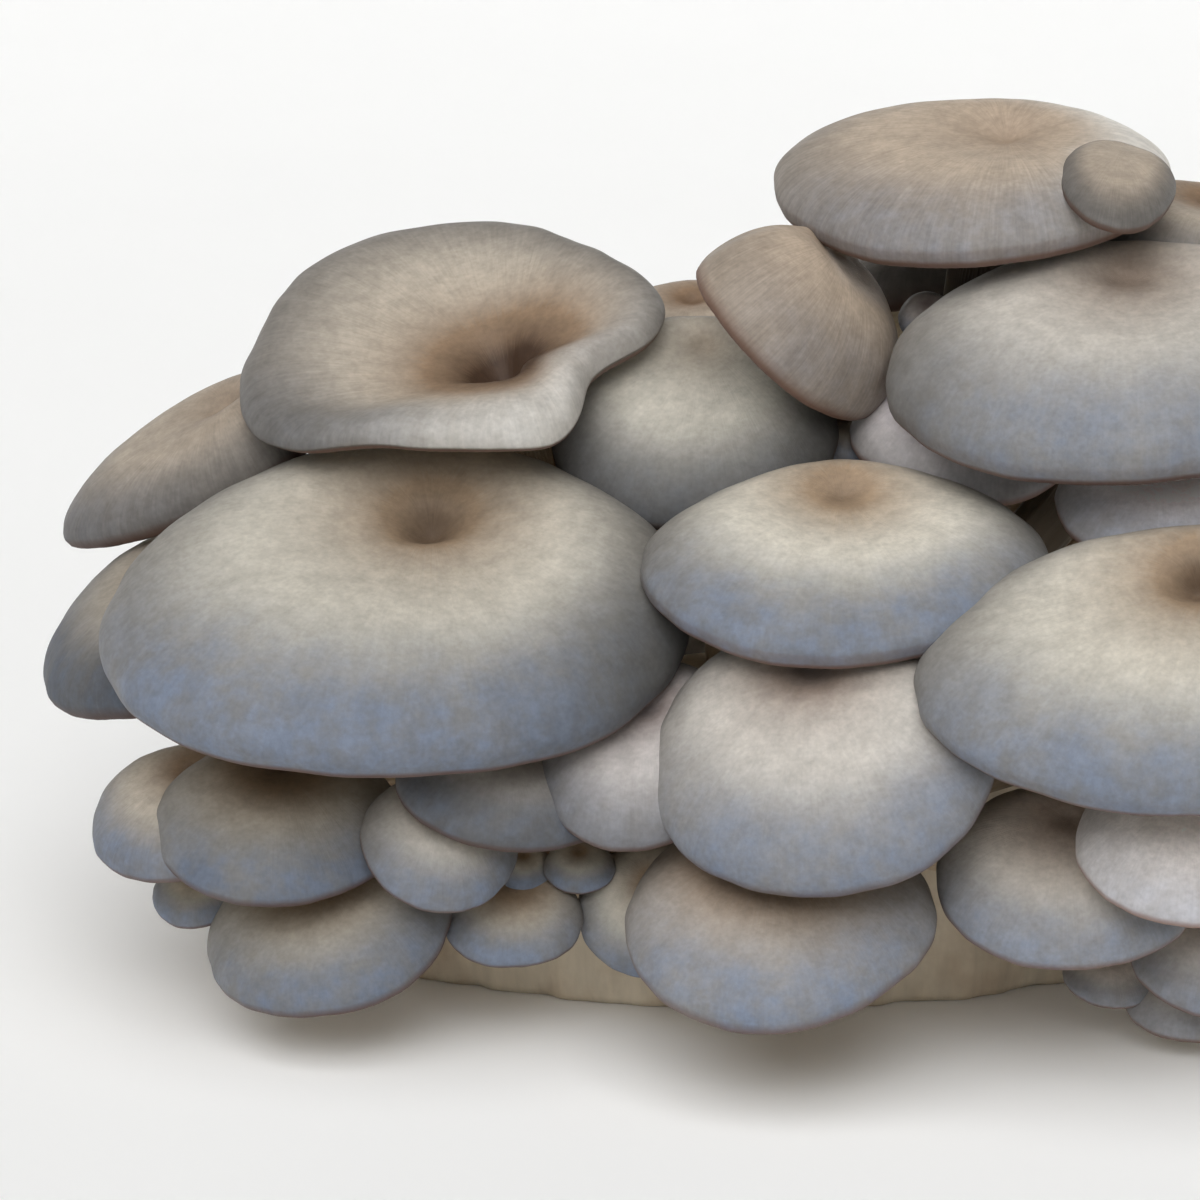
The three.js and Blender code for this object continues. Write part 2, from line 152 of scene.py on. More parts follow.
def mark(tree, name, output="Fac"):
    """Reads one of the surface's own marks."""
    node = tree.nodes.new("ShaderNodeAttribute")
    node.attribute_name = name
    return node.outputs[output]


def feed(tree, socket, value):
    """Sets a socket to a value, or links it where the value is another node's output."""
    if isinstance(value, bpy.types.NodeSocket):
        tree.links.new(value, socket)
    else:
        socket.default_value = value


def noise(tree, vector, scale, detail, roughness=0.55):
    """Cloudy noise from 0 to 1 over the given coordinates."""
    node = tree.nodes.new("ShaderNodeTexNoise")
    node.inputs["Scale"].default_value = scale
    node.inputs["Detail"].default_value = detail
    node.inputs["Roughness"].default_value = roughness
    feed(tree, node.inputs["Vector"], vector)
    return node.outputs["Fac"]


def spread(tree, value, low, high, to_low=0.0, to_high=1.0):
    """Takes low to to_low and high to to_high in a straight line, and holds what lies outside."""
    node = tree.nodes.new("ShaderNodeMapRange")
    feed(tree, node.inputs["Value"], value)
    for key, number in zip(("From Min", "From Max", "To Min", "To Max"), (low, high, to_low, to_high)):
        node.inputs[key].default_value = number
    return node.outputs["Result"]


def arith(tree, operation, first, second):
    """One sum, product or other step on two numbers."""
    node = tree.nodes.new("ShaderNodeMath")
    node.operation = operation
    feed(tree, node.inputs[0], first)
    feed(tree, node.inputs[1], second)
    return node.outputs["Value"]


def blend_colour(tree, share, first, second, kind="MIX"):
    """The first colour turned into the second by that share."""
    node = tree.nodes.new("ShaderNodeMix")
    node.data_type = "RGBA"
    node.blend_type = kind
    node.clamp_factor = True
    feed(tree, node.inputs["Factor"], share)
    feed(tree, node.inputs["A"], first)
    feed(tree, node.inputs["B"], second)
    return node.outputs["Result"]


def bumped(tree, shader, height, depth, strength):
    """Roughens the shader's surface by a height from 0 to 1 that stands for the given depth."""
    node = tree.nodes.new("ShaderNodeBump")
    node.inputs["Strength"].default_value = strength
    node.inputs["Distance"].default_value = depth
    feed(tree, node.inputs["Height"], height)
    feed(tree, shader.inputs["Normal"], node.outputs["Normal"])


def base_flesh():
    """Pale flesh with brown stains, fine upright fibres and a dry, dull face."""
    material, tree, shader = new_material("base_flesh")
    place = tree.nodes.new("ShaderNodeTexCoord").outputs["Object"]
    stain = spread(tree, noise(tree, place, STAIN_SCALE, 5), *STAIN_SPAN)
    fibres = noise(tree, mark(tree, "fibre", "Vector"), 1.0, 4)
    stained = arith(tree, "MULTIPLY", stain, STAIN_STRENGTH)
    colour = blend_colour(tree, stained, linear(FLESH), linear(FLESH_STAIN))
    shade = spread(tree, fibres, *FIBRE_SHADES)
    feed(tree, shader.inputs["Base Color"], blend_colour(tree, 1.0, colour, shade, "MULTIPLY"))
    shader.inputs["Roughness"].default_value = FLESH_ROUGHNESS
    bumped(tree, shader, fibres, FLESH_RELIEF, FLESH_RELIEF_STRENGTH)
    return material


add_piece("cut_base", closed_mesh("cut_base", [base_surface()]), base_flesh(), "base")

# Large front mushrooms: broad pillowy caps with a brown dip towards the back, a blue-grey margin that
# rolls under, and thin pale gills that run down onto the stem. Each grew as one piece out of the base.

# The cap, in fractions of its mean radius unless a row says otherwise
DOME_POWER, DOME_ROUND = 2.7, 0.55
BOWL_DEPTH, BOWL_WIDTH = 0.09, 0.38
PIT_DEPTH, PIT_WIDTH = 0.04, 0.1
SWELL_WAVES, SWELL_PACE, SWELL_HEIGHT = 14, 3.2, 0.006
SWELL_FADE, SWELL_RIM_POWER = 0.3, 4
LIP_DEPTH, LIP_WIDTH, LIP_FADE = 0.12, 0.07, 0.2
RIM_WANDER = [(2, 0.015, 7), (3, 0.012, 11), (5, 0.006, 17)]
RIM_LIFT = [(2, 0.015, 5), (3, 0.02, 13)]
RIM_NICKS = [(9, 0.003, 3), (14, 0.003, 29), (23, 0.002, 51)]

# The gills: their common arch, and the blades, of which every second one starts only near the rim
GILL_ARCH, GILL_DROP = 0.3, 0.35
GILL_DEPTH, GILL_MIDDLE, GILL_SHARPNESS = 0.07, 0.4, 2.5
GILL_FADE = 0.35
GILL_NECK_SHARE, GILL_NECK_FADE = 0.35, 0.55
SHORT_GILLS = (0.5, 0.7)
GILL_RUN_HEIGHT, GILL_RUN_FADE = 0.1, (0.05, 0.5)

# The stem, and the place of its root in the base
STEM_RADIUS, STEM_WAIST, STEM_FLARE, NECK_FLARE = 0.16, 0.9, 0.25, 1.5
STEM_RIBS = [(5, 0.03, 3), (9, 0.02, 7), (17, 0.012, 5)]
NECK_PULL, ROOT_PULL, NECK_BLEND = 0.35, 0.3, 0.4
ROOT_DEPTH, ROOT_LEVEL = 7 * MM, 3 * MM
ROOT_SHARE, ROOT_LIMIT, ROOT_GATHER = 0.72, 0.95, 0.45
CLUSTER_HEIGHT = 165 * MM
CORE_LEVEL, CORE_SPREAD = 6 * MM, 0.6

# Where the skin's colours lie: the brown dip, the grey edge, partly the margin's own grey and partly
# painted shade at the cap's sides, its blue front, painted light on lifted lips and lit places, and the
# thin brown line at the rim, which starts nearer the rim on a small cap and there also tints the rim
# itself
BROWN_WIDTH, PIT_BROWN_WIDTH, DARK_PIT = 0.42, 0.13, 0.14
EDGE_FADE, FRONT_FADE, PAINTED_LIGHT_FADE = (0.5, 1.0), (-0.3, 0.9), (0.35, 0.8)
LINE_SIZES, LINE_STARTS, LINE_FADE, LINE_STRENGTH = (18 * MM, 50 * MM), (0.0, 0.006), 0.0055, 0.85
TINT_SIZES, TINT_STRENGTHS, TINT_STARTS = (18 * MM, 48 * MM), (0.5, 0.0), 0.997
FLESH_FADE, STEM_FADE = (0.9 * LIP_WIDTH, 1.6 * LIP_WIDTH), (0.55, 0.85)
FIBRES_ROUND, FIBRES_LONG, STEM_FIBRES_LONG, FIBRES_SHIFT = 42, 5, 3, 900

# Gills round the cap, and rows of the grid over the dome, under the cap and down the stem, by width
DETAIL = [(79, 64, 44, 26, 20), (47, 40, 32, 20, 14), (21, 28, 24, 16, 10), (0, 16, 18, 12, 8)]
COLUMNS_PER_GILL = 8
GILL_ROWS_CROWD = 1.6


def swells(angle, terms):
    """Sum of swells of a ring, each (angle of its middle, spread, amount), that fade as a bell does."""
    total = 0 * angle
    for middle, wide, amount in terms:
        away = (np.degrees(angle) - middle + 180) % 360 - 180
        total = total + amount * np.exp(-((away / wide) ** 2))
    return total


def smooth_step(low, high, value):
    """0 below low and 1 above high, with an even S between them."""
    share = np.clip((value - low) / (high - low), 0, 1)
    return share * share * (3 - 2 * share)


def turned(heading, pitch, roll):
    """Axes of a cap as columns, right, back and up: roll about Y, pitch about X, heading about Z."""
    h, p, r = np.radians([heading, pitch, roll])
    about_z = np.array([[np.cos(h), -np.sin(h), 0], [np.sin(h), np.cos(h), 0], [0, 0, 1]])
    about_x = np.array([[1, 0, 0], [0, np.cos(p), -np.sin(p)], [0, np.sin(p), np.cos(p)]])
    about_y = np.array([[np.cos(r), 0, np.sin(r)], [0, 1, 0], [-np.sin(r), 0, np.cos(r)]])
    return about_z @ about_x @ about_y


def turned_by(own_angle, terms):
    """Waves whose first angle is a multiple of an angle of the cap's own, so that no two are alike."""
    return [(count, amount, first * own_angle) for count, amount, first in terms]


def root_below(at):
    """Where a stem ends in the base: nearer the middle the higher its cap stands."""
    plan = at[:2] / (BASE_WIDTH / 2, BASE_DEPTH / 2)
    gather = ROOT_GATHER * at[2] / CLUSTER_HEIGHT
    reach = np.hypot(*plan)
    fraction = min(reach * (ROOT_SHARE - gather), ROOT_LIMIT - gather)
    place = plan / reach * fraction * (BASE_WIDTH / 2, BASE_DEPTH / 2)
    return np.array([*place, max(base_level(fraction) - ROOT_DEPTH, ROOT_LEVEL)])


def stem_frames(tangents, right, back, down):
    """Carries two cross axes along a path without twist: each step turns them by the least turn that
    takes the last tangent to the next."""
    frames = []
    for tangent in tangents:
        axis = np.cross(down, tangent)
        share = 1 / (1 + down @ tangent)
        right = right + np.cross(axis, right) + share * np.cross(axis, np.cross(axis, right))
        back = back + np.cross(axis, back) + share * np.cross(axis, np.cross(axis, back))
        down = tangent
        frames.append((right, back))
    return np.array(frames)


def mushroom_surface(row):
    """One mushroom as a grid, angle round the cap by way along its outline. The outline starts in the
    dip, goes out over the dome to the rim, rolls under it, comes back along the gills and runs down the
    stem. Cap: each point lies a fraction of the way from the dip to the lobed rim. Its height is a
    flattened dome less a bowl and a pit above, and an arch less a drop, a lip and the blades of the
    gills below. Stem: circles carried along a curve that leaves the cap square to its rim and bends
    into the base."""
    _, at, width, length, turn, dome, dip, own = row
    at = np.array(at) * MM
    half = np.array([width, length]) / 2 * MM
    mean = half.mean()
    _, gills, dome_rows, gill_rows, stem_rows = next(d for d in DETAIL if width >= d[0])
    angle = np.arange(gills * COLUMNS_PER_GILL) * 2 * np.pi / (gills * COLUMNS_PER_GILL)

    # The rim. Its fine waves start at an angle made from the cap's place across and its level.
    own_angle = sum(row[1][::2])
    lobes = waves(angle, [*own.get("lobes", []), *turned_by(own_angle, RIM_WANDER + RIM_NICKS)])
    lobes = lobes - swells(angle, own.get("pressed", []))
    lift = waves(angle, [*own.get("wave", []), *turned_by(own_angle, RIM_LIFT)])
    lift = lift + swells(angle, own.get("raised", []))
    axes = turned(*turn)
    right, back, up = axes.T

    # The cap
    round_it = np.stack([np.cos(angle), np.sin(angle)], axis=-1)
    rim = half * round_it * (1 + lobes)[:, None]
    dip_place = half * dip
    neck_out = NECK_FLARE * STEM_RADIUS
    over = np.sin(np.linspace(0, np.pi / 2, dome_rows))[:, None]
    inward = np.linspace(0, 1, gill_rows + 1)[1:, None] ** GILL_ROWS_CROWD * (1 - neck_out)
    out = np.concatenate([over, 1 - inward])
    plane = dip_place + (rim - dip_place) * out[..., None]

    bowl = own.get("bowl", BOWL_DEPTH) * np.exp(-((over / own.get("bowl_width", BOWL_WIDTH)) ** 2))
    pit = own.get("pit", PIT_DEPTH) * np.exp(-((over / own.get("pit_width", PIT_WIDTH)) ** 2))
    chance = np.random.RandomState(int(abs(own_angle) * 100 + width))
    swell = 0
    for _ in range(SWELL_WAVES):
        way = chance.normal(size=2) * SWELL_PACE / mean
        swell = swell + np.cos(plane[:dome_rows] @ way + chance.uniform(0, 2 * np.pi))
    dome_power = own.get("dome_power", DOME_POWER)
    dome_height = dome * (1 - over**dome_power) ** DOME_ROUND - bowl - pit
    swell_fades = (1 - over**SWELL_RIM_POWER) * smooth_step(0, SWELL_FADE, over)
    dome_height = dome_height + SWELL_HEIGHT * swell * swell_fades

    long_blade = (0.5 + 0.5 * np.cos(gills * angle)) ** GILL_SHARPNESS
    short_blade = (0.5 - 0.5 * np.cos(gills * angle)) ** GILL_SHARPNESS
    under = 1 - inward
    blade = long_blade + short_blade * smooth_step(*SHORT_GILLS, under)
    from_neck = smooth_step(neck_out, GILL_NECK_FADE, under)
    depth = GILL_NECK_SHARE + (1 - GILL_NECK_SHARE) * from_neck
    depth = GILL_DEPTH * smooth_step(0, GILL_FADE, inward) * depth
    roll = np.minimum(inward / LIP_WIDTH, 1)
    lip = own.get("lip_depth", LIP_DEPTH) * np.sqrt(roll * (2 - roll))
    lip = lip * np.exp(-((np.maximum(inward - LIP_WIDTH, 0) / LIP_FADE) ** 2))
    arch = own.get("arch", GILL_ARCH) * under * inward
    gill_height = arch - GILL_DROP * inward**3 - lip + depth * (GILL_MIDDLE - blade)

    height = mean * (np.concatenate([dome_height, gill_height]) + lift * out**2)
    cap = at + np.concatenate([plane, height[..., None]], axis=-1) @ axes.T

    # The stem
    neck_ring = cap[-1]
    neck = neck_ring.mean(axis=0)
    root = np.array(own["root"]) * MM if "root" in own else root_below(at)
    span = np.linalg.norm(root - neck)
    core = np.array([CORE_SPREAD * root[0], 0, CORE_LEVEL])
    outward = (root - core) / np.linalg.norm(root - core)
    bend, into = neck - NECK_PULL * span * up, root + ROOT_PULL * span * outward
    t = np.linspace(0, 1, stem_rows + 1)[1:, None]
    path = (1 - t) ** 3 * neck + 3 * (1 - t) ** 2 * t * bend + 3 * (1 - t) * t**2 * into + t**3 * root
    slope = (1 - t) ** 2 * (bend - neck) + 2 * (1 - t) * t * (into - bend) + t**2 * (root - into)
    slope = slope / np.linalg.norm(slope, axis=1, keepdims=True)
    frames = stem_frames(slope, right, back, -up)
    blended = smooth_step(0, NECK_BLEND, t)
    radius = mean * STEM_RADIUS * (STEM_WAIST + STEM_FLARE * (2 * t - 1) ** 2)
    running_down = GILL_RUN_HEIGHT * long_blade * (1 - smooth_step(*GILL_RUN_FADE, t))
    radius = radius * (1 + waves(angle, turned_by(own_angle, STEM_RIBS)) + running_down)
    ring = (neck_ring - neck) @ np.stack([right, back, -up], axis=-1)
    side = ring[:, 0] * (1 - blended) + radius * np.cos(angle) * blended
    rear = ring[:, 1] * (1 - blended) + radius * np.sin(angle) * blended
    along = ring[:, 2] * (1 - blended)
    stem = path[:, None] + side[..., None] * frames[:, None, 0] + rear[..., None] * frames[:, None, 1]
    stem = stem + along[..., None] * slope[:, None]
    end = np.broadcast_to(root, (1, len(angle), 3))
    points = np.concatenate([cap, stem, end])

    # Marks that the skin's colours follow
    reach = np.concatenate([out, np.zeros((stem_rows + 1, 1))]) + 0 * angle
    is_top = (np.arange(len(reach)) < dome_rows)[:, None]
    past_rim = np.where(is_top, 0, 1 - reach)
    edge = np.where(is_top, smooth_step(*EDGE_FADE, reach), 1.0)
    front = smooth_step(*FRONT_FADE, -np.sin(angle))
    from_dip = np.linalg.norm(plane - dip_place, axis=-1) / mean
    from_dip = np.concatenate([from_dip, np.ones((stem_rows + 1, len(angle)))])
    dark_dip = min(own.get("pit", PIT_DEPTH) / DARK_PIT, 1)
    # The brown round the dip; where a row widens it over a low cap's top, it is partly painted shade
    # under the caps above
    brown = np.exp(-((from_dip / own.get("brown_and_shade_width", BROWN_WIDTH)) ** 2))
    brown = (brown + dark_dip * np.exp(-((from_dip / PIT_BROWN_WIDTH) ** 2))) / 2
    # Places of painted light on the cap's outer part: a highlight on a lifted lip or on a lit side
    painted_light = swells(angle, own.get("painted_light", []))
    line_starts = np.interp(mean, LINE_SIZES, LINE_STARTS)
    line = LINE_STRENGTH * smooth_step(line_starts, line_starts + LINE_FADE, past_rim)
    tint = np.interp(mean, TINT_SIZES, TINT_STRENGTHS)
    tint = tint * np.where(is_top, smooth_step(TINT_STARTS, 1, reach), 1)
    marks = {
        "dip": is_top * brown * own.get("brown", 1.0),
        # The edge's grey: partly the margin's own colour and partly painted shade where the cap turns
        # from the light
        "edge": edge * own.get("grey", 1.0) * (1 - painted_light),
        # Painted shade on the edge, all round and in given places, where it sits in a recess or under a
        # neighbouring cap
        "deep": edge * (own.get("deep", 0.0) + swells(angle, own.get("painted_shade_places", []))),
        "painted_light": smooth_step(*PAINTED_LIGHT_FADE, reach) * is_top * painted_light,
        "margin": edge * front * own.get("blue", 1.0),
        "rim": np.maximum(tint, line),
        "flesh": smooth_step(*FLESH_FADE, past_rim),
        "stem": smooth_step(*STEM_FADE, past_rim),
        "warm": own.get("warm", 0.0) + 0 * reach,
        # Tone: the cap's own brightness together with painted light and painted shade for how much
        # light reaches it; on gills and stem, painted shade that darkens the gaps between the caps
        "tone": np.where(past_rim < LIP_WIDTH, own.get("tone", 1.0), own.get("shade", 1.0)),
        "lilac": own.get("lilac", 0.0) + 0 * reach,
    }
    down_stem = FIBRES_LONG + STEM_FIBRES_LONG * np.append(t, 1)[:, None]
    way_down = np.concatenate([FIBRES_LONG * out, down_stem]) + 0 * angle
    spokes = FIBRES_ROUND * np.broadcast_to(round_it, (*reach.shape, 2))
    marks["fibre"] = np.concatenate([spokes, way_down[..., None]], axis=-1) + FIBRES_SHIFT * at
    return points, marks


CREAM = (194, 189, 177)
TAN = (146, 126, 104)
DARK_DIP = (72, 54, 40)
WARM_TINT = (230, 214, 203)
# Grey of the edge, partly the margin's own colour and partly painted shade at the cap's sides
EDGE_GREY_AND_SHADE = (104, 101, 98)
# Painted shade: a dark grey for edges in recesses and under neighbouring caps
PAINTED_SHADE_GREY = (66, 64, 60)
# Painted light: a near-white highlight for lifted lips and lit places
PAINTED_LIGHT_COLOUR = (214, 212, 206)
BLUE_GREY = (112, 121, 137)
LILAC = (176, 170, 176)
RIM_BROWN = (98, 72, 60)
GILL_CREAM = (190, 176, 152)
STEM_CREAM = (184, 164, 138)
TAN_AT = 0.45
# How strongly the edge's grey (partly painted shade), the painted shade and the painted light show
EDGE_GREY_AND_SHADE_STRENGTH, PAINTED_SHADE_STRENGTH, PAINTED_LIGHT_STRENGTH = 0.85, 0.8, 0.8
CLOUD_SCALE, PATCH_SCALE, GRAIN_SCALE = 75, 260, 900
CLOUD_SHARE, FIBRE_SHARE = 0.6, 0.6

# Patterns: a low and a high value of a noise or a mark, and the strength or brightness at each
DIP_STREAKS = (0.2, 0.8, 0.85, 1.15)
BLUE_CLOUDS = (0.38, 0.62, 0.4, 1.15)
STREAKS, STREAKS_BY_WARMTH = (0.3, 0.7, 0.84, 1.1), (0, 1, 0.3, 1.0)
BLOTCHES = (0.35, 0.65, 0.89, 1.08)
GRAIN = (0.3, 0.7, 0.91, 1.08)
SKIN_ROUGHNESS = (0.3, 0.7, 0.5, 0.68)

# The skin's shine, its relief, and the light that goes into it
SKIN_SHINE = 0.3
SKIN_RELIEF, SKIN_RELIEF_STRENGTH = 0.4 * MM, 0.3
LIGHT_SHARE, LIGHT_SPREAD, LIGHT_DEPTH = 0.08, (1.0, 0.7, 0.5), 3 * MM


def mixed(tree, first, share, second):
    """The first number by that share and the second by the rest."""
    rest = arith(tree, "MULTIPLY", second, 1 - share)
    return arith(tree, "ADD", arith(tree, "MULTIPLY", first, share), rest)


def mushroom_skin():
    """Cap skin that goes from brown in the dip over cream to a greyish edge, partly painted shade at
    the cap's sides, which is clouded with blue at the front and has a thin brown rim, streaked by
    fibres that run out from the dip, with cream gills and stem. Painted shade and painted light lie on
    the edge in places, and the tone of each cap carries painted light and shade, that of its gills and
    stem painted shade."""
    material, tree, shader = new_material("mushroom_skin")
    place = tree.nodes.new("ShaderNodeTexCoord").outputs["Object"]
    clouds = noise(tree, place, CLOUD_SCALE, 5, 0.6)
    patches = noise(tree, place, PATCH_SCALE, 4)
    grain = noise(tree, place, GRAIN_SCALE, 3)
    fibres = noise(tree, mark(tree, "fibre", "Vector"), 1.0, 5, 0.6)
    warm = mark(tree, "warm")

    # The dip's brown over cream, with the tints of old and of shaded caps
    ramp = tree.nodes.new("ShaderNodeValToRGB")
    ramp.color_ramp.elements[0].color = linear(CREAM)
    ramp.color_ramp.elements[1].color = linear(DARK_DIP)
    ramp.color_ramp.elements.new(TAN_AT).color = linear(TAN)
    streaked = spread(tree, fibres, *DIP_STREAKS)
    feed(tree, ramp.inputs["Fac"], arith(tree, "MULTIPLY", mark(tree, "dip"), streaked))
    warmed = blend_colour(tree, 1.0, ramp.outputs["Color"], linear(WARM_TINT), "MULTIPLY")
    colour = blend_colour(tree, warm, ramp.outputs["Color"], warmed)
    colour = blend_colour(tree, mark(tree, "lilac"), colour, linear(LILAC))

    # The edge: grey, partly its own colour and partly painted shade where the cap turns from the light,
    # clouded with blue, with painted shade in recesses and under neighbouring caps, and painted light
    # on lifted lips and lit places
    cloudy = spread(tree, mixed(tree, clouds, CLOUD_SHARE, patches), *BLUE_CLOUDS)
    grey = arith(tree, "MULTIPLY", mark(tree, "edge"), EDGE_GREY_AND_SHADE_STRENGTH)
    blue = arith(tree, "MULTIPLY", mark(tree, "margin"), cloudy)
    # Painted shade on the edge in recesses and under neighbouring caps
    deep = arith(tree, "MULTIPLY", mark(tree, "deep"), PAINTED_SHADE_STRENGTH)
    # Painted light on lifted lips and lit places of the edge
    painted_light = arith(tree, "MULTIPLY", mark(tree, "painted_light"), PAINTED_LIGHT_STRENGTH)
    colour = blend_colour(tree, grey, colour, linear(EDGE_GREY_AND_SHADE))
    colour = blend_colour(tree, blue, colour, linear(BLUE_GREY))
    colour = blend_colour(tree, deep, colour, linear(PAINTED_SHADE_GREY))
    colour = blend_colour(tree, painted_light, colour, linear(PAINTED_LIGHT_COLOUR))

    # Streaks, most of them on the warm old caps, then blotches and grain
    streaky = blend_colour(tree, 1.0, colour, spread(tree, fibres, *STREAKS), "MULTIPLY")
    colour = blend_colour(tree, spread(tree, warm, *STREAKS_BY_WARMTH), colour, streaky)
    colour = blend_colour(tree, 1.0, colour, spread(tree, patches, *BLOTCHES), "MULTIPLY")
    colour = blend_colour(tree, 1.0, colour, spread(tree, grain, *GRAIN), "MULTIPLY")

    # The rim's line, and the bare flesh of gills and stem
    colour = blend_colour(tree, mark(tree, "rim"), colour, linear(RIM_BROWN))
    flesh = blend_colour(tree, mark(tree, "stem"), linear(GILL_CREAM), linear(STEM_CREAM))
    colour = blend_colour(tree, mark(tree, "flesh"), colour, flesh)
    # Tone: partly each cap's own brightness and partly painted light and shade; on gills and stem,
    # painted shade
    colour = blend_colour(tree, 1.0, colour, mark(tree, "tone"), "MULTIPLY")
    feed(tree, shader.inputs["Base Color"], colour)
    feed(tree, shader.inputs["Roughness"], spread(tree, clouds, *SKIN_ROUGHNESS))
    shader.inputs["Specular IOR Level"].default_value = SKIN_SHINE
    shader.inputs["Subsurface Weight"].default_value = LIGHT_SHARE
    shader.inputs["Subsurface Radius"].default_value = LIGHT_SPREAD
    shader.inputs["Subsurface Scale"].default_value = LIGHT_DEPTH
    relief = mixed(tree, fibres, FIBRE_SHARE, grain)
    bumped(tree, shader, relief, SKIN_RELIEF, SKIN_RELIEF_STRENGTH)
    return material


skin = mushroom_skin()


def grow(row, growths=()):
    """Adds a mushroom, with any growths that are one piece with it."""
    name = row[0]
    parts = [mushroom_surface(part) for part in (row, *growths)]
    add_piece(f"{name}_mushroom", closed_mesh(name, parts), skin, f"mushroom_{name}")


# Each mushroom: name, middle of its rim in millimetres, width, length from front to back, heading,
# pitch and roll in degrees, dome height, place of the dip, and what differs from the common form and
# colours. Lobes and waves are (how many, amount, angle of the first), and pressed and raised margins,
# places of painted shade and of painted light (angle of the middle, spread, amount). Tone is the cap's
# brightness, partly its own and partly painted light and painted shade for how much light reaches it,
# and shade is painted shade on its gills and stem that darkens the gaps between the caps. The other
# colours are shares: brown of the dip, and how wide it spreads, which on the low caps is partly painted
# shade; grey of the edge, partly its own colour and partly painted shade; blue of the edge; painted
# shade of the edge; warm and lilac of the whole cap.
LARGE_FRONT = [
    # giant: painted shade on its right edge, where the middle cap shades it
    ("giant", (-72, -37, 82), 115, 92, (0, 22, 0), 0.33, (0.12, 0.38),
     {"bowl": 0.12, "pit": 0.11, "lobes": [(2, 0.02, 35), (3, 0.015, 215)],
      "raised": [(65, 25, 0.045)], "brown": 0.93, "painted_shade_places": [(345, 38, 1.0)]}),
    ("right_big", (82.1, -72, 81.6), 112.2, 67.6, (0, 27, -3), 0.31, (0, 0.45),
     {"pit": 0.1, "tone": 1.09, "shade": 0.5, "blue": 0.85}),
    ("middle", (15.3, -39, 92.4), 79, 63.9, (0, 14, -1), 0.31, (0, 0.5),
     {"tone": 1.23, "shade": 0.45, "deep": 0.3}),
    # right_upper: painted shade on its left edge, and painted shade on its gills and stem
    ("right_upper", (72.8, -16, 124.3), 98.9, 70.3, (0, 17, -3), 0.43, (0, 0.45),
     {"tone": 1.04, "shade": 0.3, "brown": 0.7, "lilac": 0.2, "grey": 0.75, "blue": 0.7,
      "painted_shade_places": [(190, 35, 0.6)]}),
    ("low_middle", (10.4, -66, 62.8), 67, 64, (0, 34, -12), 0.37, (0, 0.5),
     {"tone": 1.03, "brown": 1.2, "lilac": 0.25, "grey": 0.85, "blue": 0.85}),
    # front_middle: brown spread wide up its top, partly painted shade under low_middle
    ("front_middle", (2.1, -72, 31.4), 59.8, 55.1, (0, 22, -3), 0.38, (0, 0.5),
     {"tone": 1.07, "brown": 1.3, "brown_and_shade_width": 1.0, "lilac": 0.1, "grey": 0.8, "blue": 0.95}),
]
for row in LARGE_FRONT:
    grow(row)

# Upper mushrooms: older caps, browner and drier, with streaks that run out from a wide dip. The crown's
# front right margin is curled into a small lobe and a bud sits on its stem, both of its own flesh.
UPPER = [
    # centre_upper: painted shade on its edge and a lowered tone, for it sits in a recess under
    # left_upper
    ("centre_upper", (-13.5, 0, 110), 57.6, 53, (0, 33, -3), 0.38, (0.1, 0.6),
     {"tone": 0.9, "brown": 0.45, "blue": 0.5, "deep": 0.8, "painted_shade_places": [(350, 45, 0.25)]}),
    # left_upper: painted light on its lifted front lip, and painted shade on its left front edge
    ("left_upper", (-63.5, 12, 126.7), 89, 86.5, (0, 17, -9), 0.15, (0.28, -0.28),
     {"dome_power": 9, "bowl": 0.19, "bowl_width": 0.72, "pit": 0.2, "pit_width": 0.14, "arch": 0.08,
      "lip_depth": 0.07, "lobes": [(1, 0.08, 300), (2, 0.06, 305), (3, 0.07, 215)],
      "wave": [(1, -0.02, 270), (2, -0.02, 285), (3, -0.05, 215)], "pressed": [(325, 22, 0.34)],
      "raised": [(252, 22, 0.08), (302, 14, -0.08)], "tone": 1.05, "brown": 1.9, "warm": 0.5,
      "blue": 0.3, "painted_shade_places": [(222, 30, 0.6)], "painted_light": [(300, 38, 0.75)]}),
    ("crown_left", (6.1, 0, 129.3), 54.4, 42.4, (34, 35, 29), 0.71, (0.3, 0.55),
     {"root": (16, 18, 47), "tone": 1.21, "shade": 0.25, "brown": 0.3, "warm": 1.0, "grey": 0.4,
      "blue": 0.3, "deep": 0.3}),
    # left_mid and left_back: tones lowered as painted shade, and painted shade on the edge of left_mid
    ("left_mid", (-115.5, -15, 73), 62, 58, (-60, 25, 0), 0.4, (0, 0.3),
     {"tone": 0.66, "warm": 0.4, "deep": 0.4}),
    ("left_back", (-112, 15, 98.8), 40, 66, (-90, 28, 10), 0.42, (0, 0.3),
     {"tone": 0.82, "brown": 0.4, "warm": 0.7, "blue": 0.3}),
    ("crown_right", (92, 24, 141), 52, 46, (20, 12, 10), 0.4, (0, 0.3), {"warm": 0.6, "blue": 0.3}),
    # pale_left and pale_right: tones raised as painted light, for they lie in the shade of right_upper
    ("pale_left", (40, -1, 107), 44, 36, (0, 22, 5), 0.55, (0, 0.3),
     {"tone": 2.2, "shade": 0.5, "lilac": 0.8, "blue": 0.1}),
    ("pale_right", (78.6, -21, 99.4), 41.5, 35.5, (0, 22, 0), 0.45, (0, 0.3),
     {"tone": 2.4, "shade": 0.5, "lilac": 0.7, "blue": 0.6}),
    ("gap_small", (17, 6, 106), 20, 17, (0, 20, 0), 0.5, (0, 0.2), {"warm": 0.6}),
    ("back_sliver", (-13, 35, 121), 40, 36, (0, 10, 0), 0.35, (0, 0.3), {"warm": 0.7, "blue": 0.3}),
]
